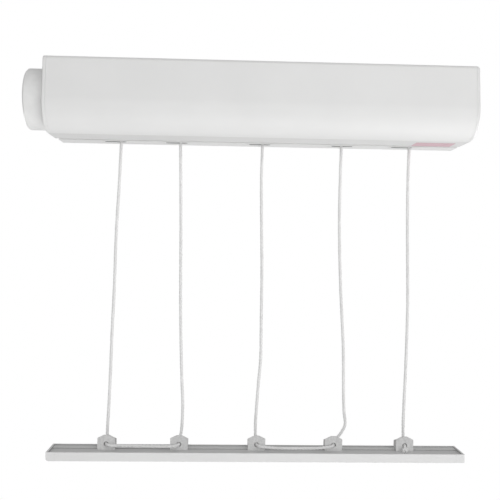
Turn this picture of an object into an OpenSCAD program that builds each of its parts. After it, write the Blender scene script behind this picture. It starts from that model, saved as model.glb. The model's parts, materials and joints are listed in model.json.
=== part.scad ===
// Wall-mounted retractable clothes line. Five lines wind on a sprung drum in a
// long housing, a knob on the left end works the drum's brake, and the lines
// carry a slim end bar.
//
// Frame: the origin is the centre of the four wall screw holes, on the wall.
// +X runs along the housing, +Z is up, and the cover faces -Y. Millimetres.

/* [Housing] */
// Length over both end caps
housing_len = 380; // [376:1:420]
// Height of the cover
housing_h = 64; // [63:0.5:72]
// Depth from the wall to the most forward point of the cover
housing_depth = 73; // [72:0.5:82]
// Lean of the flat upper front, in degrees
front_lean = 4.5; // [1:0.5:7]
// Radius of the curved lower front
lower_front_r = 26; // [20:0.5:27]
// Radius of the upper front edge
upper_edge_r = 3.5; // [2.6:0.1:6]
// Wall of the front cover
cover_wall = 2.2; // [1.6:0.1:2.4]
// Thickness of each end cap
cap_t = 3; // [2.4:0.1:3.4]
// Depth of the lip by which an end cap enters the cover
cap_lip = 4; // [2:0.5:5]
// Depth of the rear base
base_depth = 20; // [19:0.5:22]
// Wall of the rear base
base_wall = 2.4; // [2:0.1:2.8]
// How far the base stands in from each end of the cover
base_inset = 4; // [3.6:0.1:5]
// How far the base reaches below the cover
base_drop = 1; // [0:0.1:2]

/* [Wall fixing] */
// Distance from the wall screw holes to the ends of the housing
wall_hole_in = 40; // [38:0.5:50]
// Distance from the wall screw holes to the cover's top and bottom
wall_hole_edge = 8; // [7:0.5:10]
// Diameter of the wall screw holes
wall_hole_d = 5; // [4:0.1:6]

/* [Lines] */
// Diameter of a line
line_d = 2.7; // [2.4:0.1:2.8]
// Distance of the hanging lines behind the front edge of the base
line_behind_edge = 4; // [3.6:0.1:4.4]
// Distance from the middle exit to its neighbours
exit_pitch_in = 77.5; // [76:0.5:79]
// Distance from the outer exits to the ends of the housing
exit_end_in = 56; // [54:0.5:58]
// Width of the slot that a line wanders in as it winds
exit_slot_w = 20; // [19.4:0.1:20.6]
// Depth of that slot, front to back
exit_slot_d = 4.4; // [4.2:0.1:5.2]
// Rim of a line guide around its slot
guide_rim = 2; // [1.2:0.1:2.6]

/* [Drum] */
// Radius at which a line leaves the drum
wind_r = 20.5; // [20:0.1:21]
// Radius of the drum's tube
drum_tube_r = 11; // [9.5:0.5:13]
// Wall of the drum's tube
drum_tube_wall = 1.8; // [1.2:0.1:2.4]
// Radius of the drum's flanges
drum_flange_r = 23; // [21:0.5:24]
// Thickness of a flange
drum_flange_t = 1.4; // [1:0.1:2]
// Radius of the drum's shaft
shaft_r = 4; // [3:0.1:5]
// Radial running clearance of every shaft and pin
run_fit = 0.05; // [0.02:0.01:0.09]

/* [Spring] */
// Outer radius of the spring cup
spring_cup_r = 20.5; // [18:0.5:21.5]
// Length of the spring cup
spring_cup_len = 18; // [14:0.5:20]
// Turns of the mainspring
spring_turns = 11; // [6:1:12]
// Thickness of the mainspring's band
spring_band_t = 0.45; // [0.3:0.05:0.6]

/* [Brake] */
// Radius of the brake wheel
brake_wheel_r = 14.5; // [13.5:0.1:15]
// Thickness of the brake pad
brake_pad_t = 2.6; // [2:0.1:3]
// Gap between the pad and the wheel
brake_gap = 0.2; // [0.1:0.05:0.3]
// Swing of the brake lever over the knob's whole turn, in degrees
brake_lift = 12; // [9:0.5:13]
// Turn of the knob from locked to free, in degrees
knob_turn = 60; // [50:1:70]

/* [Knob] */
// Diameter of the knob
knob_d = 54.5; // [52:0.5:62]
// How far the knob stands out from the housing's end
knob_reach = 19; // [16:0.5:24]
// Gap between the knob and the housing's end
knob_gap = 1.2; // [0.6:0.1:2]
// Wall of the knob
knob_wall = 2.2; // [1.8:0.1:3]
// Radius of the knob's stem
knob_stem_r = 5; // [4.6:0.1:5.4]

/* [End bar] */
// Length over both ends of the bar
bar_len = 381; // [376:1:400]
// Depth of the bar, front to back
bar_depth = 31; // [28:0.5:34]
// Height of the bar
bar_h = 8; // [7.6:0.1:10]
// Distance from the housing's mid height down to the bar's rim
bar_hang = 316.8; // [316.4:0.1:317.2]
// Distance of the bar's rear edge behind the lines
bar_behind_line = 10.5; // [9:0.1:12]
// Wall of the bar
bar_wall = 1.8; // [1.4:0.1:2.2]
// Depth of the tray in the bar's top
tray_depth = 1.9; // [1.4:0.1:2.2]
// Length of each bar end
bar_end_len = 8; // [6:0.5:11]

/* [Lugs] */
// Distance from the middle lug to its neighbours
lug_pitch_in = 72; // [71.6:0.1:72.4]
// Distance from there to the outer lugs
lug_pitch_out = 67; // [66.6:0.1:67.4]
// Width of a lug
lug_w = 16.3; // [15:0.1:18]
// Height of a lug's peak over the bar's rim
lug_peak = 11.5; // [10.8:0.1:12]
// How far a lug's shoulders lie below its peak
lug_shoulder_drop = 2.8; // [1.6:0.1:3.4]
// Depth of a lug, front to back
lug_depth = 10; // [8.5:0.1:11]
// Thickness of a lug's front plate
lug_plate_t = 2.2; // [1.6:0.1:2.3]
// Height of a lug's hole over the bar's rim
lug_hole_up = 3.6; // [3.4:0.1:3.8]
// Diameter of a lug's hole
lug_hole_d = 4.4; // [4:0.1:5]

/* [Hidden] */
$fn = 96;

// Fits and small shared sizes
part_gap = 0.1;
arc_steps = 20;
tiny = 0.01;

// Places along the housing
half_len = housing_len / 2;
cap_face = half_len - cap_t;
wall_hole_dx = housing_len - 2 * wall_hole_in;
wall_hole_dz = housing_h - 2 * wall_hole_edge;
bracket_t = 3;
brake_room = 11;
spring_room = 26;
bracket_left_x = -cap_face + brake_room;
bracket_right_x = cap_face - spring_room - bracket_t;
bush_flange_t = 1.2;
drum_x0 = bracket_left_x + bracket_t + bush_flange_t + 0.3;
drum_x1 = bracket_right_x - bush_flange_t - 0.3;
exit_out = half_len - exit_end_in;
exit_x = [-exit_out, -exit_pitch_in, 0, exit_pitch_in, exit_out];

// The lines' plane and the drum's axis, measured from the wall
line_from_wall = base_depth - line_behind_edge;
axis_y = line_from_wall + wind_r;
line_r = line_d / 2;
exit_z = -housing_h / 2 - base_drop;
guide_proud = 0.4;
lead_z = exit_z - 0.1;
lead_shift = [5, 3.5, 2.6, -0.6, 7.3];
guide_h = 5;
guide_w = exit_slot_w + 2 * guide_rim;
guide_front_y = base_depth;
guide_d = 2 * line_behind_edge;

// The cover's section, as points in the Y-Z plane
lean_out = [-cos(front_lean), sin(front_lean)];
lower_c = [-(housing_depth - lower_front_r), -housing_h / 2 + lower_front_r];
lean_start = lower_c + lower_front_r * lean_out;
upper_c_z = housing_h / 2 - upper_edge_r;
upper_c = [lean_start[0]
    - (upper_edge_r + (upper_c_z - lean_start[1]) * lean_out[1]) / lean_out[0], upper_c_z];

function arc(c, r, a0, a1) =
    [for (i = [0 : arc_steps]) let (a = a0 + (a1 - a0) * i / arc_steps) c + r * [cos(a), sin(a)]];

function cover_outline(in, rear) = concat(
    [[-rear, -housing_h / 2 + in]],
    arc(lower_c, lower_front_r - in, 270, 180 - front_lean),
    arc(upper_c, max(upper_edge_r - in, 0.3), 180 - front_lean, 90),
    [[-rear, housing_h / 2 - in]]);

// Screws
screw_r = 1.5;
screw_head_r = 2.8;
screw_head_t = 1.6;
cap_screw_edge = 7;
cap_screw_z = housing_h / 2 - cap_screw_edge;
cap_screw_y = 10;
cap_screw_len = 9;
boss_r = 2.9;
bracket_foot = 12;
bracket_foot_t = 3;
bracket_foot_gap = 5;
bracket_foot_h = wall_hole_dz - 2 * bracket_foot_gap;
bracket_screw_edge = 4;
bracket_screw_z = bracket_foot_h / 2 - bracket_screw_edge;
bracket_screw_len = 7;
bracket_edge_gap = 5;
bracket_half_h = housing_h / 2 - bracket_edge_gap;
bracket_reach = axis_y + 26;
bracket_low_y = axis_y + 8;
bracket_high_y = axis_y + 15;
bracket_low_z = -13.5;
bracket_high_z = 16.2;

// The winding of a line, in turns side by side
wind_turns = 7;
wind_pitch = 2.8;
wind_top_r = wind_r - line_r - 0.35;
bay_w = wind_turns * wind_pitch + 1;

// The spring
arbor_r = 6.5;
arbor_len = spring_cup_len - 3;
spring_w = arbor_len - 1;
spring_cup_wall = 1.4;
spring_in_r = arbor_r + spring_band_t / 2 + 0.05;
spring_out_r = spring_cup_r - spring_cup_wall - spring_band_t / 2 - 0.3;
spring_steps = 24;

// The brake, in planes along X and points about the drum's axis
cam_x = -cap_face + 0.6;
cam_t = 4;
wheel_x = cam_x + cam_t + 0.6;
wheel_t = 4;
pivot = [-19, 8.5];
pin_r = 1.75;
lever_hub_r = 4.4;
lever_t = 3;
pad_in_r = brake_wheel_r + brake_gap;
pad_out_r = pad_in_r + brake_pad_t;
pad_seat = 0.05;
pad_a0 = 68;
pad_a1 = 118;
follower_r = 1.5;
follower = [-2.2, 8.6];
follower_gap = 0.4;
cam_dwell = 14;
cam_steps = 15;
spring_pad_t = 2;
spring_pad_d = 6;
spring_pad_z = bracket_half_h - spring_pad_t;
brake_spring_r = 1.5;
brake_spring_wire = 0.35;
brake_spring_turns = 5;
brake_spring_at = [-11, 18.8];

// Turns a point about the origin, in degrees
function spun(p, a) = [p[0] * cos(a) - p[1] * sin(a), p[0] * sin(a) + p[1] * cos(a)];

// The follower seen from the cam while the knob turns by a share s of its travel
function follower_in_cam(s) = spun(pivot + spun(follower - pivot, brake_lift * s), -knob_turn * s);
function cam_point(s) = let (p = follower_in_cam(s), far = norm(p))
    p * (far - follower_r - follower_gap) / far;

// Knob
knob_face_x = -half_len - knob_reach;
knob_back_x = -half_len - knob_gap;
knob_bevel = 1.4;
knob_hub_r = 9;
bush_wall = 2.4;
badge_r = 12;
badge_t = 1.2;
knob_screw_head_r = 4;
knob_screw_head_t = 2;
knob_screw_len = 12;

// The bar
half_bar = bar_len / 2;
bar_y0 = bar_behind_line - line_from_wall - bar_depth;
bar_top = -bar_hang;
tray_floor = bar_top - tray_depth;
chamber_h = bar_h - tray_depth - 2 * bar_wall;
// The bar hangs a little to the right of the housing's middle
bar_mid_x = 1.1;
bar_edge_left_r = 2.6;
bar_edge_right_r = 1.2;
lug_out = lug_pitch_in + lug_pitch_out;
lug_x = [for (x = [-lug_out, -lug_pitch_in, 0, lug_pitch_in, lug_out]) bar_mid_x + x];
lug_side_t = 1.6;
lug_rear_t = 1.2;
lug_rear_drop = 2.4;
lug_top_half_w = 2.4;
lug_floor_t = 1;
lug_front_y = -line_from_wall - 3.5;
lug_tenon_w = 9;
lug_tenon_d = 5;
knot_at = [138.8, -25.4, tray_floor + 2.55];
knot_r = 2.2;
knot_ring_r = 1.2;
knot_strand_r = 1.35;

// The blank label's place under the cover
label_end_in = 12;
label_len = 36;
label_x0 = half_len - label_end_in - label_len;
label_front = 40;
label_rear = 21.5;
label_t = 0.3;

// Routes of the lines, from exit to exit or from exit to knot
cord_a_route = [[-129, -16, -33.5], [-130.4, -16, -75], [-132.4, -16, -120], [-133.2, -16, -165],
    [-134.8, -16, -215], [-135.5, -16, -245.2], [-136.3, -15.6, -270.5], [-137.3, -14.4, -290.7],
    [-137.9, -13.6, -301.8], [-137.9, -13.5, -307.8], [-137.9, -14.2, -310.5],
    [-137.9, -16.2, -312.5], [-137.9, -18.9, -313.2], [-137.2, -21.6, -313.2],
    [-135.2, -23.5, -313.3], [-132.5, -24.2, -313.5], [-121.9, -24.3, -313.8],
    [-104.4, -24.3, -314], [-86.9, -24.3, -314.2], [-76.3, -24.2, -314.1], [-73.6, -23.5, -313.7],
    [-71.6, -21.6, -313.3], [-70.9, -18.9, -313.2], [-70.9, -16.2, -312.5], [-70.7, -14.2, -310.5],
    [-70.1, -13.5, -307.8], [-69.1, -13.6, -301.8], [-68.4, -14.4, -290.7], [-68.2, -15.6, -275.5],
    [-69.4, -16, -252.2], [-71.5, -16, -190], [-72.5, -16, -110], [-74, -16, -33.5]];
cord_b_route = [[2.6, -16, -33.5], [2.1, -16, -65], [2.8, -16, -105], [3.8, -16, -150],
    [3.9, -16, -200], [3.8, -16, -235.1], [2.1, -15.9, -257.3], [1, -15.2, -275.5],
    [0.1, -14.2, -291.7], [0, -13.6, -301.8], [0.5, -13.5, -307.8], [1, -14.2, -310.5],
    [1.1, -16.2, -312.5], [1.1, -18.9, -313.2], [1.8, -21.6, -313.3], [3.8, -23.6, -313.6],
    [6.5, -24.4, -314], [19.1, -24.7, -314.9], [37.1, -24.4, -315.1], [55.1, -24.7, -314.8],
    [67.7, -24.4, -314], [70.4, -23.6, -313.6], [72.4, -21.6, -313.3], [73.1, -18.9, -313.2],
    [73.3, -16.2, -312.6], [74.5, -14.1, -310.8], [76.8, -13.3, -308.3], [79.5, -13.4, -305.1],
    [81.9, -13.6, -301.4], [84, -14, -297.2], [84.6, -14.4, -293.2], [83.3, -15, -283.6],
    [82.3, -15.9, -262], [81.6, -16, -225], [78.1, -16, -165], [76.2, -16, -110], [76.3, -16, -65],
    [76.9, -16, -33.5]];
cord_c_route = [[141.3, -16, -33.5], [140.6, -16, -65], [140.8, -16, -110], [142, -16, -180],
    [141.6, -16, -212], [140.8, -16, -245.2], [140, -15.6, -270.5], [139.7, -14.4, -290.7],
    [139.9, -13.6, -301.8], [140.1, -13.5, -307.8], [140.1, -14.2, -310.5], [140.1, -16.2, -312.5],
    [140.1, -18.9, -313.2], [139.9, -21, -313.9], [139.55, -22.9, -315]];
cord_sides = 8;

// ---- helpers

// Draws a shape of the Y-Z plane and extrudes it along +X from x0
module along_x(x0, len) {
    translate([x0, 0, 0]) rotate([90, 0, 90]) linear_extrude(len) children();
}

// Moves a shape of the Y-Z plane to the drum's axis
module at_axis() {
    translate([-axis_y, 0]) children();
}

module ring(r_out, r_in) {
    difference() {
        circle(r_out);
        circle(r_in);
    }
}

module disc_x(x0, len, r_out, r_in) {
    along_x(x0, len) at_axis() ring(r_out, r_in);
}

module screw_x(x0, dir, y, z, len, head_r = screw_head_r, head_t = screw_head_t, r = screw_r) {
    translate([x0, y, z]) rotate([0, 90 * dir, 0]) union() {
        cylinder(h = head_t, r = head_r);
        cylinder(h = len, r = r);
    }
}

// A tube of flat-sided rings along a route
function unit(v) = v / norm(v);
function heading(p, i) = unit(p[min(i + 1, len(p) - 1)] - p[max(i - 1, 0)]);
function ring_points(p, i, r) =
    let (t = heading(p, i), u = unit(cross([-1, 2, -1], t)), v = cross(t, u))
    [for (k = [0 : cord_sides - 1]) let (a = 360 * k / cord_sides)
        p[i] + r * (cos(a) * u + sin(a) * v)];

module tube(route, r) {
    n = len(route);
    m = cord_sides;
    points = [for (i = [0 : n - 1]) each ring_points(route, i, r)];
    sides = [for (i = [0 : n - 2], k = [0 : m - 1])
        [i * m + k, (i + 1) * m + k, (i + 1) * m + (k + 1) % m, i * m + (k + 1) % m]];
    polyhedron(points, concat(sides, [[for (k = [0 : m - 1]) k]],
        [[for (k = [m - 1 : -1 : 0]) (n - 1) * m + k]]));
}

// ---- housing

module base_screw_holes() {
    for (x = [-wall_hole_dx / 2, wall_hole_dx / 2], z = [-wall_hole_dz / 2, wall_hole_dz / 2])
        translate([x, tiny, z]) rotate([90, 0, 0]) cylinder(h = base_wall + 1, d = wall_hole_d);
}

module bracket_screw_places() {
    for (x = [bracket_left_x + bracket_t + bracket_foot / 2,
            bracket_right_x - bracket_foot / 2], z = [-bracket_screw_z, bracket_screw_z])
        translate([x, 0, z]) children();
}

module base() {
    w = housing_len - 2 * base_inset;
    h = housing_h + base_drop;
    color("whitesmoke") difference() {
        translate([-w / 2, -base_depth, exit_z]) cube([w, base_depth, h]);
        translate([-w / 2 + base_wall, -base_depth - 1, exit_z + base_wall])
            cube([w - 2 * base_wall, base_depth - base_wall + 1, h - 2 * base_wall]);
        for (x = exit_x)
            translate([x - guide_w / 2 - part_gap, -base_depth - 1, exit_z - 1])
                cube([guide_w + 2 * part_gap, guide_d + 1 + part_gap, base_wall + 2]);
        base_screw_holes();
        bracket_screw_places() rotate([90, 0, 0]) union() {
            translate([0, 0, -1]) cylinder(h = screw_head_t + 1, r = screw_head_r + part_gap);
            cylinder(h = base_wall + 1, r = screw_r + part_gap);
        }
    }
}

module front_cover() {
    color("white") along_x(-cap_face, 2 * cap_face) difference() {
        polygon(cover_outline(0, base_depth));
        polygon(cover_outline(cover_wall, base_depth - 1));
    }
}

// The cap on the side dir, with its lip inside the cover
module end_cap(dir) {
    x0 = dir < 0 ? -half_len : cap_face;
    lip_x = dir < 0 ? -cap_face : cap_face - cap_lip;
    along_x(x0, cap_t) polygon(cover_outline(0, base_depth));
    along_x(lip_x, cap_lip) difference() {
        polygon(cover_outline(cover_wall + part_gap, base_depth));
        polygon(cover_outline(cover_wall + part_gap + 1.4, base_depth - 1));
    }
}

module cap_screw_holes(dir) {
    for (z = [-cap_screw_z, cap_screw_z])
        screw_x(dir * (half_len + tiny), -dir, cap_screw_y - axis_y, z, cap_t + 1,
            screw_head_r + part_gap, screw_head_t + part_gap, screw_r + part_gap);
}

module end_cap_left() {
    color("white") difference() {
        end_cap(-1);
        cap_screw_holes(-1);
        along_x(-half_len - 1, cap_t + 2) at_axis() circle(knob_stem_r + bush_wall);
    }
}

module end_cap_right() {
    color("white") difference() {
        end_cap(1);
        cap_screw_holes(1);
    }
}

module end_cap_screws() {
    color("silver") for (dir = [-1, 1], z = [-cap_screw_z, cap_screw_z])
        screw_x(dir * half_len, -dir, cap_screw_y - axis_y, z, cap_screw_len);
}

module line_guide(x) {
    slot_end = exit_slot_d / 2;
    color("white") translate([x, -guide_front_y + guide_d / 2, exit_z - guide_proud])
        linear_extrude(guide_h) difference() {
            square([guide_w, guide_d - part_gap], center = true);
            square([exit_slot_w - 2 * slot_end, exit_slot_d], center = true);
            translate([-exit_slot_w / 2 + slot_end, 0]) circle(slot_end);
            translate([exit_slot_w / 2 - slot_end, 0]) circle(slot_end);
        }
}

// The side plate that carries the shaft, in the Y-Z plane
module bracket_plate() {
    polygon([[-base_wall, -bracket_half_h], [-bracket_low_y, -bracket_half_h],
        [-bracket_reach, bracket_low_z], [-bracket_reach, bracket_high_z],
        [-bracket_high_y, bracket_half_h], [-base_wall, bracket_half_h]]);
}

// A bracket at x0, with its foot and its screw bosses on the side dir
module bracket(x0, foot_dir, boss_x0, boss_len) {
    foot_x = foot_dir > 0 ? x0 : x0 + bracket_t - bracket_foot - bracket_t;
    difference() {
        union() {
            along_x(x0, bracket_t) bracket_plate();
            translate([foot_x, -base_wall - bracket_foot_t, -bracket_foot_h / 2])
                cube([bracket_foot + bracket_t, bracket_foot_t, bracket_foot_h]);
            for (z = [-cap_screw_z, cap_screw_z])
                along_x(boss_x0, boss_len) translate([cap_screw_y - axis_y, z]) circle(boss_r);
        }
        along_x(x0 - 1, bracket_t + 2) at_axis() circle(shaft_r + bush_wall);
        bracket_screw_places() rotate([90, 0, 0])
            cylinder(h = base_wall + bracket_foot_t + 1, r = screw_r);
        for (z = [-cap_screw_z, cap_screw_z])
            along_x(boss_x0 - bracket_t - 1, boss_len + 2 * bracket_t + 2)
                translate([cap_screw_y - axis_y, z]) circle(screw_r);
    }
}

module bracket_left() {
    color("gainsboro") difference() {
        union() {
            bracket(bracket_left_x, 1, -cap_face, bracket_left_x + cap_face);
            translate([cam_x, -axis_y + brake_spring_at[0] - spring_pad_d / 2, spring_pad_z])
                cube([bracket_left_x - cam_x, spring_pad_d, spring_pad_t]);
        }
        along_x(bracket_left_x - 1, bracket_t + 2) at_axis() translate(pivot) circle(pin_r);
    }
}

module bracket_right() {
    color("gainsboro") bracket(bracket_right_x, -1, bracket_right_x + bracket_t,
        cap_face - bracket_right_x - bracket_t);
}

module bracket_screws() {
    color("silver") bracket_screw_places() rotate([90, 0, 0]) union() {
        cylinder(h = screw_head_t, r = screw_head_r);
        cylinder(h = bracket_screw_len - base_wall, r = screw_r);
    }
}

// A flanged bush in the bracket at x0, with its flange towards the drum
module bush(x0, flange_x) {
    disc_x(x0, bracket_t, shaft_r + bush_wall, shaft_r + run_fit);
    disc_x(flange_x, bush_flange_t, shaft_r + bush_wall + 1.6, shaft_r + run_fit);
}

module bush_left() {
    color("goldenrod") bush(bracket_left_x, bracket_left_x + bracket_t);
}

module bush_right() {
    color("goldenrod") bush(bracket_right_x, bracket_right_x - bush_flange_t);
}

module spring_cup() {
    x0 = bracket_right_x + bracket_t;
    color("silver") union() {
        disc_x(x0, spring_cup_len, spring_cup_r, spring_cup_r - spring_cup_wall);
        along_x(x0 + spring_cup_len - spring_cup_wall, spring_cup_wall) at_axis()
            circle(spring_cup_r);
    }
}

module knob_bush() {
    color("gainsboro") union() {
        disc_x(-half_len, cap_t, knob_stem_r + bush_wall, knob_stem_r + run_fit);
        disc_x(-half_len - 0.8, 0.8, knob_stem_r + bush_wall + 1.6, knob_stem_r + run_fit);
    }
}

module brake_pin() {
    color("silver") along_x(cam_x - 0.3, bracket_left_x + bracket_t - cam_x + 0.3)
        at_axis() translate(pivot) circle(pin_r);
}

// A compression spring between the lever and the bracket's pad
module brake_spring() {
    z0 = brake_spring_at[1] + brake_spring_wire;
    rise = spring_pad_z - brake_spring_wire - z0;
    steps = 12 * brake_spring_turns;
    route = [for (i = [0 : steps]) let (a = 360 * i / 12)
        [wheel_x + wheel_t / 2 + brake_spring_r * cos(a),
            -axis_y + brake_spring_at[0] + brake_spring_r * sin(a), z0 + rise * i / steps]];
    color("silver") tube(route, brake_spring_wire);
}

// The stretches of line between the windings and the exits
module line_leads() {
    color("white") for (i = [0 : len(exit_x) - 1])
        translate([exit_x[i] + lead_shift[i], -line_from_wall, lead_z])
            cylinder(h = -lead_z - 1, r = line_r);
}

module blank_label() {
    color("pink") translate([label_x0, -label_front, -housing_h / 2 - label_t])
        cube([label_len, label_front - label_rear, label_t]);
}

// ---- drum

module drum() {
    hub = 8;
    in_r = drum_tube_r - drum_tube_wall;
    color("gainsboro") union() {
        disc_x(drum_x0, drum_x1 - drum_x0, drum_tube_r, in_r);
        for (x = [drum_x0, -hub / 2, drum_x1 - hub])
            disc_x(x, hub, in_r + tiny, shaft_r);
        for (x = exit_x, s = [-1, 1])
            disc_x(x + s * (bay_w + drum_flange_t) / 2 - drum_flange_t / 2, drum_flange_t,
                drum_flange_r, in_r + tiny);
    }
}

module shaft() {
    color("silver") along_x(wheel_x - 0.2, bracket_right_x + bracket_t + arbor_len + 1
        - wheel_x) at_axis() circle(shaft_r);
}

module brake_wheel() {
    color("dimgray") disc_x(wheel_x, wheel_t, brake_wheel_r, shaft_r);
}

module spring_arbor() {
    color("dimgray") disc_x(bracket_right_x + bracket_t + 1, arbor_len - 1, arbor_r, shaft_r);
}

// A flat spiral band, from the arbor out to the cup
module mainspring() {
    last = spring_turns * spring_steps;
    function band(side) = [for (i = [0 : last]) let (a = 360 * i / spring_steps,
        r = spring_in_r + (spring_out_r - spring_in_r) * i / last + side * spring_band_t / 2)
        r * [cos(a), sin(a)]];
    outer = band(1);
    inner = band(-1);
    color("slategray") along_x(bracket_right_x + bracket_t + 1.5, spring_w) at_axis()
        polygon(concat(outer, [for (i = [last : -1 : 0]) inner[i]]));
}

// One line's turns, side by side on the drum
module line_winding(x) {
    color("white") translate([x, -axis_y, 0]) rotate([0, 90, 0]) rotate_extrude()
        union() {
            translate([drum_tube_r + part_gap, -wind_turns * wind_pitch / 2])
                square([wind_top_r - line_r - drum_tube_r - part_gap, wind_turns * wind_pitch]);
            for (i = [0 : wind_turns - 1])
                translate([wind_top_r - line_r, (i - (wind_turns - 1) / 2) * wind_pitch])
                    circle(line_r + 0.1, $fn = 24);
        }
}

// ---- brake

// A straight arm from the pivot to a point, in the Y-Z plane
module arm(to, half_w) {
    d = unit(to - pivot);
    s = [-d[1], d[0]] * half_w;
    polygon([pivot + s, pivot - s, to - s, to + s]);
}

module pad_sector(r_in, r_out, a0, a1) {
    polygon(concat(arc([0, 0], r_out, a0, a1), arc([0, 0], r_in, a1, a0)));
}

module brake_lever() {
    arm_r = pad_out_r + lever_t / 2;
    arm_end = arm_r * [cos(pad_a1 + 6), sin(pad_a1 + 6)];
    color("dimgray") difference() {
        union() {
            along_x(cam_x + 0.2, wheel_x + wheel_t - cam_x - 0.4) at_axis()
                translate(pivot) circle(lever_hub_r);
            along_x(wheel_x + 0.2, wheel_t - 0.4) at_axis() union() {
                pad_sector(pad_out_r, pad_out_r + lever_t, pad_a0, pad_a1 + 8);
                arm(arm_end, lever_t / 2);
                translate([brake_spring_at[0] - 2, brake_spring_at[1] - 4]) square([4, 4]);
            }
            along_x(cam_x + 0.2, cam_t - 0.4) at_axis() union() {
                arm(follower, follower_r);
                translate(follower) circle(follower_r);
            }
        }
        along_x(cam_x - 1, wheel_x + wheel_t - cam_x + 2) at_axis()
            translate(pivot) circle(pin_r + run_fit);
    }
}

module brake_pad() {
    color("black") along_x(wheel_x + 0.3, wheel_t - 0.6) at_axis()
        pad_sector(pad_in_r, pad_out_r - pad_seat, pad_a0, pad_a1);
}

// ---- knob

module knob() {
    r = knob_d / 2;
    reach = knob_back_x - knob_face_x;
    stem = cam_x + cam_t - knob_face_x;
    color("white") translate([knob_face_x, -axis_y, 0]) rotate([0, 90, 0]) difference() {
        rotate_extrude() polygon([[0, 0], [r - knob_bevel, 0], [r, knob_bevel], [r, reach - 0.6],
            [r - 0.6, reach], [r - knob_wall, reach], [r - knob_wall, knob_wall],
            [knob_hub_r, knob_wall], [knob_hub_r, reach], [knob_stem_r, reach],
            [knob_stem_r, stem], [0, stem]]);
        translate([0, 0, -1]) cylinder(h = badge_t + 1, r = badge_r + part_gap);
        translate([0, 0, -1]) cylinder(h = badge_t + knob_screw_head_t + 1.3,
            r = knob_screw_head_r + part_gap);
        translate([0, 0, -1]) cylinder(h = badge_t + knob_screw_head_t + knob_screw_len + 1.6,
            r = screw_r);
    }
}

module knob_cam() {
    outline = [for (i = [0 : cam_steps]) cam_point(i / cam_steps)];
    top = outline[cam_steps];
    top_a = atan2(top[1], top[0]);
    low_r = norm(outline[0]);
    low_a = atan2(outline[0][1], outline[0][0]);
    color("dimgray") along_x(cam_x, cam_t) at_axis() difference() {
        polygon(concat(outline, arc([0, 0], norm(top), top_a, top_a - cam_dwell),
            arc([0, 0], low_r, top_a - cam_dwell, low_a - 360)));
        circle(knob_stem_r);
    }
}

module knob_screw() {
    color("silver") screw_x(knob_face_x + badge_t + 0.2, 1, -axis_y, 0,
        knob_screw_head_t + knob_screw_len, knob_screw_head_r, knob_screw_head_t);
}

module knob_badge() {
    color("white") disc_x(knob_face_x, badge_t, badge_r, 0);
}

// ---- lines

module line_cord_a() {
    color("white") tube(cord_a_route, line_r);
}

module line_cord_b() {
    color("white") tube(cord_b_route, line_r);
}

module line_cord_c() {
    color("white") tube(cord_c_route, line_r);
}

// ---- end bar

module bar_section() {
    h = bar_h;
    in = bar_wall;
    translate([bar_y0, bar_top - h]) difference() {
        square([bar_depth, h]);
        translate([in, h - tray_depth]) square([bar_depth - 2 * in, tray_depth + 1]);
        translate([in, in]) square([bar_depth - 2 * in, chamber_h]);
    }
}

// The place of a lug's tenon in the tray's floor
module tenon(x, h, gap) {
    translate([x - lug_tenon_w / 2 - gap, lug_front_y + lug_plate_t - gap, tray_floor - h])
        cube([lug_tenon_w + 2 * gap, lug_tenon_d + 2 * gap, h]);
}

module bar_rail() {
    color("whitesmoke") difference() {
        along_x(bar_mid_x - half_bar + bar_end_len, bar_len - 2 * bar_end_len) bar_section();
        for (x = lug_x)
            translate([0, 0, tiny]) tenon(x, bar_wall + 2 * tiny, part_gap);
    }
}

// A bar end, drawn for the right side of a bar on the middle, with its lower outer edge rounded
module bar_end(edge_r) {
    x0 = half_bar - bar_end_len;
    in = bar_wall;
    color("whitesmoke") union() {
        difference() {
            translate([x0, bar_y0, bar_top - bar_h]) cube([bar_end_len, bar_depth, bar_h]);
            translate([x0 - 1, bar_y0 + in, tray_floor])
                cube([bar_end_len - in + 1, bar_depth - 2 * in, tray_depth + 1]);
            translate([half_bar - edge_r, bar_y0 - 1, bar_top - bar_h - tiny]) difference() {
                cube([edge_r + 1, bar_depth + 2, edge_r]);
                translate([0, 0, edge_r]) rotate([-90, 0, 0])
                    cylinder(h = bar_depth + 2, r = edge_r);
            }
        }
        translate([x0 - 5, bar_y0 + in + part_gap, bar_top - bar_h + in + part_gap])
            cube([5, bar_depth - 2 * (in + part_gap), chamber_h - 2 * part_gap]);
    }
}

module bar_end_left() {
    translate([bar_mid_x, 0, 0]) mirror([1, 0, 0]) bar_end(bar_edge_left_r);
}

module bar_end_right() {
    translate([bar_mid_x, 0, 0]) bar_end(bar_edge_right_r);
}

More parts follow.
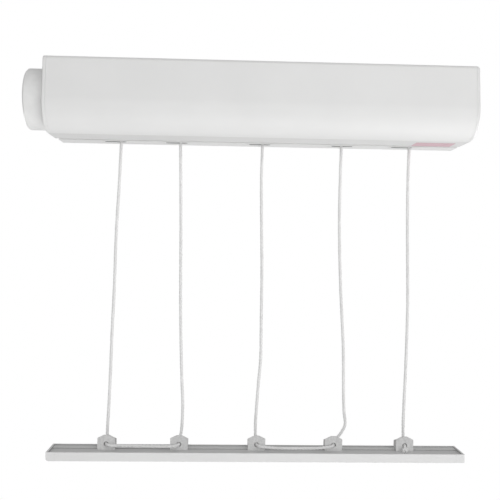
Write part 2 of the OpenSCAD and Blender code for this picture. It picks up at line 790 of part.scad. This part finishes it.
module line_lug(x) {
    w = lug_w / 2;
    base_z = tray_floor;
    peak_z = bar_top + lug_peak;
    shoulder_z = peak_z - lug_shoulder_drop;
    color("whitesmoke") union() {
        difference() {
            translate([x, lug_front_y + lug_plate_t, 0]) rotate([90, 0, 0])
                linear_extrude(lug_plate_t) polygon([[-w, base_z], [w, base_z], [w, shoulder_z],
                    [lug_top_half_w, peak_z], [-lug_top_half_w, peak_z], [-w, shoulder_z]]);
            translate([x, lug_front_y + lug_plate_t + 1, bar_top + lug_hole_up])
                rotate([90, 0, 0]) cylinder(h = lug_plate_t + 2, d = lug_hole_d);
        }
        for (s = [-1, 1])
            translate([x + s * (w - lug_side_t / 2) - lug_side_t / 2, lug_front_y, 0])
                rotate([90, 0, 90]) linear_extrude(lug_side_t) polygon([
                    [lug_plate_t - tiny, base_z], [lug_depth, base_z],
                    [lug_depth, shoulder_z - lug_rear_drop], [lug_plate_t - tiny, shoulder_z]]);
        translate([x - w, lug_front_y + lug_depth - lug_rear_t, base_z])
            cube([lug_w, lug_rear_t, shoulder_z - lug_rear_drop - base_z]);
        translate([x - w, lug_front_y + lug_plate_t - tiny, base_z])
            cube([lug_w, lug_tenon_d + tiny, lug_floor_t]);
        tenon(x, bar_wall + 0.6, 0);
    }
}

// A small tight knot, as a ball with a strand round its waist
module end_knot() {
    color("white") translate(knot_at) rotate([0, 60, 0]) rotate_extrude() intersection() {
        union() {
            circle(knot_r, $fn = 32);
            translate([knot_ring_r, 0]) circle(knot_strand_r, $fn = 32);
        }
        translate([0, -10]) square([10, 20]);
    }
}

base();
front_cover();
end_cap_left();
end_cap_right();
end_cap_screws();
line_guide(exit_x[0]);  // line_guide_1
line_guide(exit_x[1]);  // line_guide_2
line_guide(exit_x[2]);  // line_guide_3
line_guide(exit_x[3]);  // line_guide_4
line_guide(exit_x[4]);  // line_guide_5
bracket_left();
bracket_right();
bracket_screws();
bush_left();
bush_right();
spring_cup();
knob_bush();
brake_pin();
brake_spring();
line_leads();
blank_label();
drum();
shaft();
brake_wheel();
spring_arbor();
mainspring();
line_winding(exit_x[0]);  // line_winding_1
line_winding(exit_x[1]);  // line_winding_2
line_winding(exit_x[2]);  // line_winding_3
line_winding(exit_x[3]);  // line_winding_4
line_winding(exit_x[4]);  // line_winding_5
brake_lever();
brake_pad();
knob();
knob_cam();
knob_screw();
knob_badge();
line_cord_a();
line_cord_b();
line_cord_c();
bar_rail();
bar_end_left();
bar_end_right();
line_lug(lug_x[0]);  // line_lug_1
line_lug(lug_x[1]);  // line_lug_2
line_lug(lug_x[2]);  // line_lug_3
line_lug(lug_x[3]);  // line_lug_4
line_lug(lug_x[4]);  // line_lug_5
end_knot();
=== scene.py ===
"""A wall-mounted retractable clothes line: camera, materials, lines, moulded parts, stage."""

import json
import math

import bmesh
import bpy
import numpy as np
from mathutils import Matrix, Vector


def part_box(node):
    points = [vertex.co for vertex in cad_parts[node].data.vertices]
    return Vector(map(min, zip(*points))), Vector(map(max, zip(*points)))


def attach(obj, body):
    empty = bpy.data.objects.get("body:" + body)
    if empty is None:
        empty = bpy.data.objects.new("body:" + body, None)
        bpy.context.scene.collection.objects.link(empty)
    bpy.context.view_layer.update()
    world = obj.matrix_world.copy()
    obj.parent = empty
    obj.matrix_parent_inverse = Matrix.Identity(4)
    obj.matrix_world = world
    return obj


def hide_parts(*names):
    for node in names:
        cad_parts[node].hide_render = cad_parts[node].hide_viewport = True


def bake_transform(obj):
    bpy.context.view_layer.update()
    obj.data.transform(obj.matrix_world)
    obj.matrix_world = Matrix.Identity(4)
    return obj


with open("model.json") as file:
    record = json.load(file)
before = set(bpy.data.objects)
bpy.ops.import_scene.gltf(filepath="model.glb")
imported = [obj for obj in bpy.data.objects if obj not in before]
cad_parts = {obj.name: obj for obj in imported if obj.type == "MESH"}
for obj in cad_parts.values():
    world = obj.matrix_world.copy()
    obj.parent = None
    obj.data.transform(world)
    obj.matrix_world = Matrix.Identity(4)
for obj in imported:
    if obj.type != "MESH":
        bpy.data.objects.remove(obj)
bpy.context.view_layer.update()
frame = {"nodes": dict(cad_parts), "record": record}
nodes = frame["nodes"]
MM = 0.001

# ---------------------------------------------------------------- camera

CAMERA_AT = (-33.7 * MM, -710 * MM, -137 * MM)
CAMERA_LENS = 53.4
CAMERA_SENSOR = 36
CAMERA_CLIP = 10 * MM
CAMERA_YAW = math.radians(2.15)
CAMERA_PITCH = math.radians(0.4)
CAMERA_ROLL = math.radians(0.88)

camera_data = bpy.data.cameras.new("camera")
camera_data.lens = CAMERA_LENS
camera_data.sensor_width = CAMERA_SENSOR
camera_data.clip_start = CAMERA_CLIP
camera = bpy.data.objects.new("camera", camera_data)
bpy.context.scene.collection.objects.link(camera)
camera.location = CAMERA_AT
turned = (Matrix.Rotation(-CAMERA_YAW, 3, "Z")
          @ Matrix.Rotation(math.radians(90) + CAMERA_PITCH, 3, "X")
          @ Matrix.Rotation(CAMERA_ROLL, 3, "Z"))
camera.rotation_euler = turned.to_euler()
bpy.context.scene.camera = camera
bpy.context.scene.view_settings.view_transform = "Standard"


# ---------------------------------------------------------------- meshes

WELD = 2e-6                       # corners closer than this are one
FLAT = math.radians(0.6)          # faces that lean less than this to each other are one
SOFT_FROM = math.radians(32)      # edges sharper than this are rounded
SOFT_SEGMENTS = 3


def new_object(name, mesh, material):
    """An object in the scene with that mesh, all of it in that material."""
    obj = bpy.data.objects.new(name, mesh)
    bpy.context.scene.collection.objects.link(obj)
    obj.data.materials.clear()
    obj.data.materials.append(material)
    return obj


def mesh_from(name, points, faces):
    mesh = bpy.data.meshes.new(name)
    mesh.from_pydata([tuple(p) for p in points], [], faces)
    mesh.update()
    return mesh


def shade(mesh, angle):
    """Smooth shading, with the edges sharper than angle, in degrees, kept sharp."""
    mesh.polygons.foreach_set("use_smooth", [True] * len(mesh.polygons))
    mesh.set_sharp_from_angle(angle=math.radians(angle))


def softened(node, name, edge, material, body, first=None, painted_shade_faces=()):
    """A copy of a CAD node's shape with its sharp edges rounded, as moulded plastic has them.

    edge is the radius. first is a change made to the shape before that. The last argument holds
    pairs of a test of a face's place and normal, and the material of the faces that pass it: a darker
    copy, as painted shade.
    """
    mesh = nodes[node].data.copy()
    bm = bmesh.new()
    bm.from_mesh(mesh)
    bmesh.ops.remove_doubles(bm, verts=bm.verts, dist=WELD)
    bmesh.ops.dissolve_limit(bm, angle_limit=FLAT, verts=bm.verts, edges=bm.edges,
                             delimit={"NORMAL"})
    if first:
        first(bm)
    bm.to_mesh(mesh)
    bm.free()
    obj = new_object(name, mesh, material)
    for index, (inside, other) in enumerate(painted_shade_faces, 1):
        obj.data.materials.append(other)
        for face in obj.data.polygons:
            if inside(face.center, face.normal):
                face.material_index = index
    bevel = obj.modifiers.new("edge", "BEVEL")
    bevel.width = edge
    bevel.segments = SOFT_SEGMENTS
    bevel.limit_method = "ANGLE"
    bevel.angle_limit = SOFT_FROM
    bevel.use_clamp_overlap = True
    bevel.harden_normals = False
    shade(obj.data, 45)
    weighted = obj.modifiers.new("normals", "WEIGHTED_NORMAL")
    weighted.keep_sharp = False
    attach(obj, body)
    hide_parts(node)


# ---------------------------------------------------------------- materials

def nodes_of(name):
    """A new material, its node tree and its principled shader."""
    material = bpy.data.materials.new(name)
    material.use_nodes = True
    tree = material.node_tree
    return material, tree, tree.nodes["Principled BSDF"]


def link(tree, a, out, b, socket):
    """Join a's output to b's input socket."""
    tree.links.new(a.outputs[out], b.inputs[socket])


def noise(tree, scale, detail=4, rough=0.55, stretch=(1, 1, 1)):
    """Noise with about scale spots to a metre, drawn out along an axis whose stretch is below 1."""
    where = tree.nodes.new("ShaderNodeTexCoord")
    mapping = tree.nodes.new("ShaderNodeMapping")
    mapping.inputs["Scale"].default_value = stretch
    texture = tree.nodes.new("ShaderNodeTexNoise")
    texture.inputs["Scale"].default_value = scale
    texture.inputs["Detail"].default_value = detail
    texture.inputs["Roughness"].default_value = rough
    link(tree, where, "Object", mapping, "Vector")
    link(tree, mapping, "Vector", texture, "Vector")
    return texture


def ramp(tree, source, low, high, start=0.35, end=0.65):
    """The colours from low to high, where source goes from start to end."""
    node = tree.nodes.new("ShaderNodeValToRGB")
    node.color_ramp.elements[0].position = start
    node.color_ramp.elements[0].color = (*low, 1)
    node.color_ramp.elements[1].position = end
    node.color_ramp.elements[1].color = (*high, 1)
    link(tree, source, "Fac", node, "Fac")
    return node


def bump(tree, source, shader, strength, distance, normal=None):
    """Relief from source on shader, on top of the relief in normal."""
    node = tree.nodes.new("ShaderNodeBump")
    node.inputs["Strength"].default_value = strength
    node.inputs["Distance"].default_value = distance
    link(tree, source, "Fac", node, "Height")
    if normal:
        link(tree, normal, "Normal", node, "Normal")
    link(tree, node, "Normal", shader, "Normal")
    return node


def plastic(name, colour, roughness, grain_depth=0.02 * MM, vary=0.012, drift=14):
    """Moulded plastic: a faint tone drift, a fine eroded grain and an uneven gloss.

    The colour varies by vary, in patches that are smaller where drift is larger.
    """
    material, tree, shader = nodes_of(name)
    low = tuple(max(c - vary, 0) for c in colour)
    high = tuple(min(c + vary, 1) for c in colour)
    tone = ramp(tree, noise(tree, drift, detail=3), low, high)
    link(tree, tone, "Color", shader, "Base Color")
    gloss = noise(tree, scale=60)
    spread = tree.nodes.new("ShaderNodeMapRange")
    spread.inputs["To Min"].default_value = roughness - 0.05
    spread.inputs["To Max"].default_value = roughness + 0.06
    link(tree, gloss, "Fac", spread, "Value")
    link(tree, spread, "Result", shader, "Roughness")
    wave = noise(tree, scale=22, detail=2)
    waves = bump(tree, wave, shader, strength=0.25, distance=0.4 * MM)
    grain = noise(tree, scale=900, detail=2)
    bump(tree, grain, shader, strength=0.35, distance=grain_depth, normal=waves)
    shader.inputs["IOR"].default_value = 1.46
    return material


def fibre(name, colour):
    """Twisted white line: fine fibres along the strands and a little fuzz."""
    material, tree, shader = nodes_of(name)
    low = tuple(c * 0.86 for c in colour)
    streaks = noise(tree, scale=420, detail=5, rough=0.7, stretch=(1, 1, 0.35))
    tone = ramp(tree, streaks, low, colour, start=0.3, end=0.7)
    link(tree, tone, "Color", shader, "Base Color")
    fuzz = noise(tree, scale=2600, detail=3, rough=0.7, stretch=(1, 1, 0.3))
    bump(tree, fuzz, shader, strength=0.6, distance=0.12 * MM)
    shader.inputs["Roughness"].default_value = 0.85
    shader.inputs["Sheen Weight"].default_value = 0.25
    shader.inputs["Sheen Roughness"].default_value = 0.5
    return material


def metal(name, colour, roughness):
    """Drawn or rolled metal, with fine scratches one way."""
    one_way = (60, 1, 1)
    material, tree, shader = nodes_of(name)
    low = tuple(c * 0.85 for c in colour)
    tone = ramp(tree, noise(tree, scale=130, rough=0.6, stretch=one_way), low, colour)
    link(tree, tone, "Color", shader, "Base Color")
    shader.inputs["Metallic"].default_value = 1
    shader.inputs["Roughness"].default_value = roughness
    scratches = noise(tree, scale=500, detail=3, rough=0.6, stretch=one_way)
    bump(tree, scratches, shader, strength=0.2, distance=0.02 * MM)
    return material


def paper(name, colour):
    """A matt printed label, a little uneven and worn."""
    material, tree, shader = nodes_of(name)
    low = tuple(c * 0.93 for c in colour)
    tone = ramp(tree, noise(tree, scale=90), low, colour)
    link(tree, tone, "Color", shader, "Base Color")
    shader.inputs["Roughness"].default_value = 0.5
    bump(tree, noise(tree, scale=700, detail=3), shader, strength=0.3, distance=0.03 * MM)
    return material


cover_white = plastic("cover white", (0.80, 0.80, 0.795), 0.44, grain_depth=0.012 * MM)
base_white = plastic("base white", (0.77, 0.77, 0.765), 0.45)
knob_white = plastic("knob white", (0.81, 0.81, 0.805), 0.4, vary=0.02, drift=150)
bar_white = plastic("bar white", (0.76, 0.76, 0.757), 0.42)
lug_white = plastic("lug white", (0.70, 0.70, 0.697), 0.5, vary=0.05, drift=650)
# Painted shade: a darker copy of the lugs' white for their flat sides.
lug_side_painted_shade = plastic("lug side painted shade", (0.50, 0.50, 0.498), 0.5, vary=0.03, drift=650)
# Painted shade: a darker white for the top of the tray's shelf.
shelf_top_painted_shade = plastic("shelf top painted shade", (0.66, 0.66, 0.658), 0.5)
# Painted shade: a grey for the tray's inner walls and a darker white for its floor.
tray_wall_painted_shade = plastic("tray wall painted shade", (0.38, 0.38, 0.38), 0.55)
tray_floor_painted_shade = plastic("tray floor painted shade", (0.65, 0.65, 0.648), 0.5)
# Painted shade: the cover's white made darker for the underside of the cover and caps; it is also
# rougher.
underside_matt_painted_shade = plastic("underside matt painted shade", (0.72, 0.72, 0.715), 0.6)
# Painted shade: a dark grey for the walls inside the line guides' slots.
slot_wall_painted_shade = plastic("slot wall painted shade", (0.3, 0.3, 0.302), 0.6, vary=0.006)
inner_grey = plastic("inner grey", (0.45, 0.46, 0.47), 0.5)
bush_tan = plastic("bush tan", (0.5, 0.38, 0.18), 0.45)
dark_plastic = plastic("dark plastic", (0.035, 0.037, 0.04), 0.5, vary=0.004)
pad_black = plastic("pad black", (0.012, 0.012, 0.012), 0.85, vary=0.002)
line_white = fibre("line white", (0.87, 0.87, 0.865))
label_pink = paper("label pink", (0.66, 0.45, 0.50))
steel = metal("steel", (0.62, 0.62, 0.63), 0.3)
spring_steel = metal("spring steel", (0.28, 0.31, 0.35), 0.35)

SLOT_MATERIALS = {
    "cover_white": cover_white, "base_white": base_white, "knob_white": knob_white,
    "bar_white": bar_white, "line_white": line_white, "label_pink": label_pink,
    "inner_grey": inner_grey, "bush_tan": bush_tan, "steel": steel,
    "spring_steel": spring_steel, "dark_plastic": dark_plastic, "pad_black": pad_black,
}
slot_of = {part["node"]: part["material_slot"] for part in frame["record"]["subparts"]}
for node_name, obj in nodes.items():
    if not obj.material_slots:
        obj.data.materials.append(None)
    for slot in obj.material_slots:
        slot.material = SLOT_MATERIALS[slot_of[node_name]]


# ---------------------------------------------------------------- lines

LINE_D = 2.9 * MM                 # over the crests of the strands
LINE_TWIST = 10 * MM              # one turn of the strands
LINE_STEP = 0.55 * MM
STRANDS = 3
GROOVE = 0.3                      # depth of the grooves between strands, as a share of the radius
SWELLS = ((0.025, 3.1 * MM), (0.015, 7.7 * MM))   # share and wave of the unevenness along a line
SIDES = 24                        # corners of a line's section

# The middle of each line in mm, from an outlet through its lugs to the next outlet or the knot
ROUTE_A = [(-129, -16, -33.5), (-130.4, -16, -75), (-132.4, -16, -120), (-133.2, -16, -165),
           (-134.8, -16, -215), (-135.5, -16, -245.2), (-136.3, -15.6, -270.5),
           (-137.3, -14.4, -290.7), (-137.9, -13.6, -301.8), (-137.9, -13.5, -307.8),
           (-137.9, -14.2, -310.5), (-137.9, -16.2, -312.5), (-137.9, -18.9, -313.2),
           (-137.2, -21.6, -313.2), (-135.2, -23.5, -313.3), (-132.5, -24.2, -313.5),
           (-121.9, -24.3, -313.8), (-104.4, -24.3, -314), (-86.9, -24.3, -314.2),
           (-76.3, -24.2, -314.1), (-73.6, -23.5, -313.7), (-71.6, -21.6, -313.3),
           (-70.9, -18.9, -313.2), (-70.9, -16.2, -312.5), (-70.7, -14.2, -310.5),
           (-70.1, -13.5, -307.8), (-69.1, -13.6, -301.8), (-68.4, -14.4, -290.7),
           (-68.2, -15.6, -275.5), (-69.4, -16, -252.2), (-71.5, -16, -190), (-72.5, -16, -110),
           (-74, -16, -33.5)]
ROUTE_B = [(2.6, -16, -33.5), (2.1, -16, -65), (2.8, -16, -105), (3.8, -16, -150), (3.9, -16, -200),
           (3.8, -16, -235.1), (2.1, -15.9, -257.3), (1, -15.2, -275.5), (0.1, -14.2, -291.7),
           (0, -13.6, -301.8), (0.5, -13.5, -307.8), (1, -14.2, -310.5), (1.1, -16.2, -312.5),
           (1.1, -18.9, -313.2), (1.8, -21.6, -313.3), (3.8, -23.6, -313.6), (6.5, -24.4, -314),
           (19.1, -24.7, -314.9), (37.1, -24.4, -315.1), (55.1, -24.7, -314.8), (67.7, -24.4, -314),
           (70.4, -23.6, -313.6), (72.4, -21.6, -313.3), (73.1, -18.9, -313.2),
           (73.3, -16.2, -312.6), (74.5, -14.1, -310.8), (76.8, -13.3, -308.3),
           (79.5, -13.4, -305.1), (81.9, -13.6, -301.4), (84, -14, -297.2), (84.6, -14.4, -293.2),
           (83.3, -15, -283.6), (82.3, -15.9, -262), (81.6, -16, -225), (78.1, -16, -165),
           (76.2, -16, -110), (76.3, -16, -65), (76.9, -16, -33.5)]
ROUTE_C = [(141.3, -16, -33.5), (140.6, -16, -65), (140.8, -16, -110), (142, -16, -180),
           (141.6, -16, -212), (140.8, -16, -245.2), (140, -15.6, -270.5), (139.7, -14.4, -290.7),
           (139.9, -13.6, -301.8), (140.1, -13.5, -307.8), (140.1, -14.2, -310.5),
           (140.1, -16.2, -312.5), (140.1, -18.9, -313.2), (139.9, -21, -313.9),
           (139.55, -22.9, -315)]


def through(points, step):
    """Points every step along a centripetal Catmull-Rom curve through points in mm, and its length."""
    p = np.array(points, float) * MM
    p = np.vstack([2 * p[0] - p[1], p, 2 * p[-1] - p[-2]])
    finer = 4
    out = []
    for i in range(1, len(p) - 2):
        q = p[i - 1:i + 3]
        t = np.concatenate([[0], np.cumsum(np.linalg.norm(np.diff(q, axis=0), axis=1) ** 0.5)])
        count = max(2, int(np.linalg.norm(q[2] - q[1]) / (step / finer)))
        for u in np.linspace(t[1], t[2], count, endpoint=False):
            a = [((t[k + 1] - u) * q[k] + (u - t[k]) * q[k + 1]) / (t[k + 1] - t[k])
                 for k in range(3)]
            b = [((t[k + 2] - u) * a[k] + (u - t[k]) * a[k + 1]) / (t[k + 2] - t[k])
                 for k in range(2)]
            out.append(((t[2] - u) * b[0] + (u - t[1]) * b[1]) / (t[2] - t[1]))
    out.append(p[-2])
    out = np.array(out)
    s = np.concatenate([[0], np.cumsum(np.linalg.norm(np.diff(out, axis=0), axis=1))])
    even = np.linspace(0, s[-1], max(3, int(round(s[-1] / step)) + 1))
    return np.stack([np.interp(even, s, out[:, k]) for k in range(3)], axis=1), s[-1]


def sides_along(path):
    """Two side vectors at each point of path, turned as little as possible along it."""
    off_path = [0.3, 1, 0.2]
    tangent = np.gradient(path, axis=0)
    tangent /= np.linalg.norm(tangent, axis=1)[:, None]
    side = np.cross(tangent[0], off_path)
    sides = []
    for t in tangent:
        side = side - t * (side @ t)
        side = side / np.linalg.norm(side)
        sides.append(side)
    sides = np.array(sides)
    return sides, np.cross(tangent, sides)


def rope(name, path, radius, twist):
    """Three strands of white line, twisted round path, as one grooved skin."""
    u, v = sides_along(path)
    steps = np.linalg.norm(np.diff(path, axis=0), axis=1)
    s = np.concatenate([[0], np.cumsum(steps)])
    angle = np.linspace(0, 2 * math.pi, SIDES, endpoint=False)
    points = []
    for i, p in enumerate(path):
        lobes = np.abs(np.cos(STRANDS * (angle - 2 * math.pi * s[i] / twist) / 2))
        r = radius * (1 - GROOVE + GROOVE * lobes ** 0.6)
        swell = 1
        for share, wave in SWELLS:
            swell += share * math.sin(s[i] / wave)
        r = r * swell
        points.extend(p + (r * np.cos(angle))[:, None] * u[i] + (r * np.sin(angle))[:, None] * v[i])
    n = len(path)
    faces = [(i * SIDES + k, i * SIDES + (k + 1) % SIDES, (i + 1) * SIDES + (k + 1) % SIDES,
              (i + 1) * SIDES + k) for i in range(n - 1) for k in range(SIDES)]
    faces.append(tuple(range(SIDES - 1, -1, -1)))
    faces.append(tuple((n - 1) * SIDES + k for k in range(SIDES)))
    mesh = mesh_from(name, points, faces)
    shade(mesh, 60)
    obj = new_object(name, mesh, line_white)
    return obj


def hang(obj):
    """The line spans from the housing's mouth to the bar; its place is baked into its mesh and its
    corners are read out.
    """
    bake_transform(obj)
    places = np.empty(len(obj.data.vertices) * 3)
    obj.data.vertices.foreach_get("co", places)


def hung_line(letter, route, far_end, **tied):
    """One length of line along route, in place of the CAD line, which is hidden."""
    path, length = through(route, LINE_STEP)
    line = rope("line_" + letter, path, LINE_D / 2, LINE_TWIST)
    hang(line)
    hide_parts("line_cord_" + letter)


KNOT_AT = np.array([138.8, -25.4, -316.1]) * MM
KNOT_SCALE = 0.62 * MM
KNOT_DEEPER = 1.15                # depth of the knot against its width
KNOT_LINE_R = 1.15 * MM           # the line is pulled thin in the knot
KNOT_TWIST = 6 * MM
KNOT_OPEN = 0.35                  # radians of the trefoil left out at each end
KNOT_POINTS = 120
KNOT_TILT = math.radians(25)
KNOT_TURN = math.radians(18)


def tight_knot():
    """The tight overhand knot in front of the last lug: an open trefoil, turned a little."""
    t = np.linspace(KNOT_OPEN, 2 * math.pi - KNOT_OPEN, KNOT_POINTS)
    x = np.sin(t) + 2 * np.sin(2 * t)
    y = np.cos(t) - 2 * np.cos(2 * t)
    z = -np.sin(3 * t)
    points = np.stack([x * KNOT_SCALE, z * KNOT_SCALE * KNOT_DEEPER, y * KNOT_SCALE], axis=1)
    turned = np.array(Matrix.Rotation(KNOT_TILT, 3, "X") @ Matrix.Rotation(KNOT_TURN, 3, "Y"))
    obj = rope("end_knot_tied", points @ turned.T + KNOT_AT, KNOT_LINE_R, KNOT_TWIST)
    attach(obj, "bar")
    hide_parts("end_knot")
    return obj


hung_line("a", ROUTE_A, far_end="object")
hung_line("b", ROUTE_B, far_end="object")
knot = tight_knot()
hung_line("c", ROUTE_C, far_end="knot", with_pieces=[knot])


# ---------------------------------------------------------------- plastic parts

HOUSING_LOW, HOUSING_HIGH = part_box("end_cap_left")[0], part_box("end_cap_right")[1]
BAR_LOW, BAR_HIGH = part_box("bar_end_left")[0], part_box("bar_end_right")[1]
BAR_WALL = 1.8 * MM
TRAY_FLOOR = BAR_HIGH.z - 1.9 * MM
ON_FACE = 0.02 * MM               # a corner this close to a face is on it
UPRIGHT = 0.3                     # a face is upright when its normal climbs less than this
SQUARE_ON = 0.9                   # a face looks along an axis when its normal is above this


def on_cap_outline(at):
    """Near the cap's outline, and so away from its screw holes and the knob's hole."""
    return abs(at.z) > 29 * MM or at.y < -50 * MM or at.y > -21 * MM


def round_outer_rim(end_x, radius):
    """Round the rim of an end cap's outer face, but not the edges of the holes in it."""
    def work(bm):
        rim = [e for e in bm.edges
               if all(abs(v.co.x - end_x) < ON_FACE and on_cap_outline(v.co) for v in e.verts)
               and len(e.link_faces) == 2 and e.calc_face_angle(0) > math.radians(60)]
        bmesh.ops.bevel(bm, geom=rim, offset=radius, segments=7, profile=0.5,
                        affect="EDGES", clamp_overlap=False)
    return work


def round_bar_corner(bm):
    """Round the upright front edge at the bar's left end."""
    corner = [e for e in bm.edges
              if all(abs(v.co.x - BAR_LOW.x) < ON_FACE and abs(v.co.y - BAR_LOW.y) < ON_FACE
                     for v in e.verts)]
    bmesh.ops.bevel(bm, geom=corner, offset=1.6 * MM, segments=6, profile=0.5,
                    affect="EDGES", clamp_overlap=True)


def underside(at, normal):
    """The flat underside of the cover, which gets a rougher white that is also darker, as painted
    shade.
    """
    return normal.z < -0.99 and at.z < HOUSING_LOW.z + 0.1 * MM


def in_slot(guide):
    """A test for the walls of a line guide's slot, which get a dark grey as painted shade."""
    low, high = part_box(guide)
    middle = (low + high) / 2
    half_length, half_width = 10.3 * MM, 2.6 * MM

    def test(at, normal):
        return (abs(normal.z) < UPRIGHT and abs(at.x - middle.x) < half_length
                and abs(at.y - middle.y) < half_width)
    return test


def tray_side(at, normal):
    """The inner walls of the tray in the bar's top, which get a grey as painted shade."""
    return (abs(normal.z) < UPRIGHT and TRAY_FLOOR < at.z
            and BAR_LOW.y + MM < at.y < BAR_HIGH.y - MM
            and BAR_LOW.x + MM < at.x < BAR_HIGH.x - MM)


def tray_bottom(at, normal):
    """The tray's floor, which gets a darker white as painted shade."""
    return normal.z > SQUARE_ON and abs(at.z - TRAY_FLOOR) < 0.2 * MM


def lug_side(at, normal):
    """The flat left and right sides of a lug, which get a darker copy of the lug's white as painted
    shade.
    """
    return abs(normal.x) > SQUARE_ON


def tray_shelf():
    """The raised rear strip of the tray's floor, with a rounded front edge, that the lugs stand in."""
    front, back = -15.8 * MM, BAR_HIGH.y - BAR_WALL
    height, soft, play = 0.95 * MM, 0.35 * MM, 0.05 * MM
    arc = 4
    profile = [(back, 0), (back, height)]
    for step in range(arc + 1):
        angle = math.radians(90 + 90 / arc * step)
        profile.append((front + soft + soft * math.cos(angle), height - soft + soft * math.sin(angle)))
    profile.append((front, 0))
    ends = (BAR_LOW.x + BAR_WALL + play, BAR_HIGH.x - BAR_WALL - play)
    points = [(x, y, TRAY_FLOOR + z) for x in ends for y, z in profile]
    n = len(profile)
    faces = [(k, (k + 1) % n, n + (k + 1) % n, n + k) for k in range(n)]
    faces += [tuple(range(n - 1, -1, -1)), tuple(range(n, 2 * n))]
    # Painted shade: the shelf's top in a darker white and its front face in the tray walls' grey.
    shelf = new_object("tray_shelf", mesh_from("tray_shelf", points, faces), shelf_top_painted_shade)
    shelf.data.materials.append(tray_wall_painted_shade)
    for face in shelf.data.polygons:
        if face.normal.y < -SQUARE_ON:
            face.material_index = 1
    shade(shelf.data, 40)
    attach(shelf, "bar")


# Painted shade: the underside of the cover and its end caps gets a darker, rougher white.
underside_matt_and_painted_shade = ((underside, underside_matt_painted_shade),)
# Painted shade in the bar's tray: grey walls and a darker floor.
tray = ((tray_side, tray_wall_painted_shade), (tray_bottom, tray_floor_painted_shade))
softened("front_cover", "cover_shell", 0.35 * MM, cover_white, "housing", painted_shade_faces=underside_matt_and_painted_shade)
softened("end_cap_left", "cap_left", 0.35 * MM, cover_white, "housing",
         first=round_outer_rim(HOUSING_LOW.x, 1.2 * MM), painted_shade_faces=underside_matt_and_painted_shade)
softened("bar_end_left", "bar_cap_left", 0.25 * MM, bar_white, "bar",
         first=round_bar_corner, painted_shade_faces=tray)
softened("end_cap_right", "cap_right", 0.35 * MM, cover_white, "housing",
         first=round_outer_rim(HOUSING_HIGH.x, 2.7 * MM), painted_shade_faces=underside_matt_and_painted_shade)
softened("bar_end_right", "bar_cap_right", 0.25 * MM, bar_white, "bar", painted_shade_faces=tray)
softened("base", "back_base", 0.3 * MM, base_white, "housing")
softened("bar_rail", "bar_profile", 0.25 * MM, bar_white, "bar", painted_shade_faces=tray)
softened("knob", "brake_knob", 0.5 * MM, knob_white, "knob")
for number in range(1, 6):
    guide = "line_guide_%d" % number
    # Painted shade: the slot walls of each guide in dark grey.
    softened(guide, "guide_%d" % number, 0.3 * MM, base_white, "housing",
             painted_shade_faces=((in_slot(guide), slot_wall_painted_shade),))
    # Painted shade: the lugs' flat sides in a darker white.
    softened("line_lug_%d" % number, "lug_%d" % number, 0.3 * MM, lug_white, "bar",
             painted_shade_faces=((lug_side, lug_side_painted_shade),))
tray_shelf()


# ---------------------------------------------------------------- floor, light

FLOOR_Z = -2.45
FLOOR_HALF = 6


def stage_floor():
    """A pale floor far below, plain white where the camera or a reflection sees it."""
    corners = [(-FLOOR_HALF, -FLOOR_HALF, FLOOR_Z), (FLOOR_HALF, -FLOOR_HALF, FLOOR_Z),
               (FLOOR_HALF, FLOOR_HALF, FLOOR_Z), (-FLOOR_HALF, FLOOR_HALF, FLOOR_Z)]
    mesh = mesh_from("floor", corners, [(0, 1, 2, 3)])
    material, tree, shader = nodes_of("floor pale")
    shader.inputs["Base Color"].default_value = (0.8, 0.8, 0.8, 1)
    shader.inputs["Roughness"].default_value = 0.9
    rays = tree.nodes.new("ShaderNodeLightPath")
    glow = tree.nodes.new("ShaderNodeEmission")
    glow.inputs["Color"].default_value = (1, 1, 1, 1)
    glow.inputs["Strength"].default_value = 1
    seen = tree.nodes.new("ShaderNodeMath")
    seen.operation = "MAXIMUM"
    mix = tree.nodes.new("ShaderNodeMixShader")
    link(tree, rays, "Is Camera Ray", seen, 0)
    link(tree, rays, "Is Glossy Ray", seen, 1)
    link(tree, seen, "Value", mix, "Fac")
    link(tree, shader, "BSDF", mix, 1)
    link(tree, glow, "Emission", mix, 2)
    link(tree, mix, "Shader", tree.nodes["Material Output"], "Surface")
    new_object("floor", mesh, material)


def stage_world(ambient):
    """A studio that is white for the camera and gives an even light of strength ambient."""
    world = bpy.data.worlds.new("studio")
    bpy.context.scene.world = world
    world.use_nodes = True
    tree = world.node_tree
    tree.nodes.clear()
    out = tree.nodes.new("ShaderNodeOutputWorld")
    seen = tree.nodes.new("ShaderNodeBackground")
    seen.inputs["Color"].default_value = (1, 1, 1, 1)
    lit = tree.nodes.new("ShaderNodeBackground")
    lit.inputs["Color"].default_value = (ambient, ambient, ambient, 1)
    rays = tree.nodes.new("ShaderNodeLightPath")
    mix = tree.nodes.new("ShaderNodeMixShader")
    link(tree, rays, "Is Camera Ray", mix, "Fac")
    link(tree, lit, "Background", mix, 1)
    link(tree, seen, "Background", mix, 2)
    link(tree, mix, "Shader", out, "Surface")


def lamp(name, at, aim, size, power):
    """A soft box at a place, turned to another, that the camera doesn't see."""
    data = bpy.data.lights.new(name, "AREA")
    data.shape = "RECTANGLE"
    data.size, data.size_y = size
    data.energy = power
    obj = bpy.data.objects.new(name, data)
    bpy.context.scene.collection.objects.link(obj)
    obj.location = at
    obj.rotation_euler = (Vector(aim) - Vector(at)).to_track_quat("-Z", "Y").to_euler()
    obj.visible_camera = False


stage_floor()
stage_world(ambient=0.43)
lamp("fill", at=(0.35, -1.7, 0.25), aim=(0, 0, -0.1), size=(2.2, 1.4), power=15)
lamp("key", at=(0.5, -0.5, -1.2), aim=(0, -0.03, -0.15), size=(1.5, 1.1), power=8.2)
lamp("under", at=(0.1, 0.35, -1.2), aim=(0, -0.03, 0), size=(1.4, 0.8), power=4.4)
for side in (-1, 1):
    lamp("back %d" % side, at=(side * 1.5, 1.2, -0.2), aim=(0, 0, -0.2), size=(0.5, 0.35), power=5)
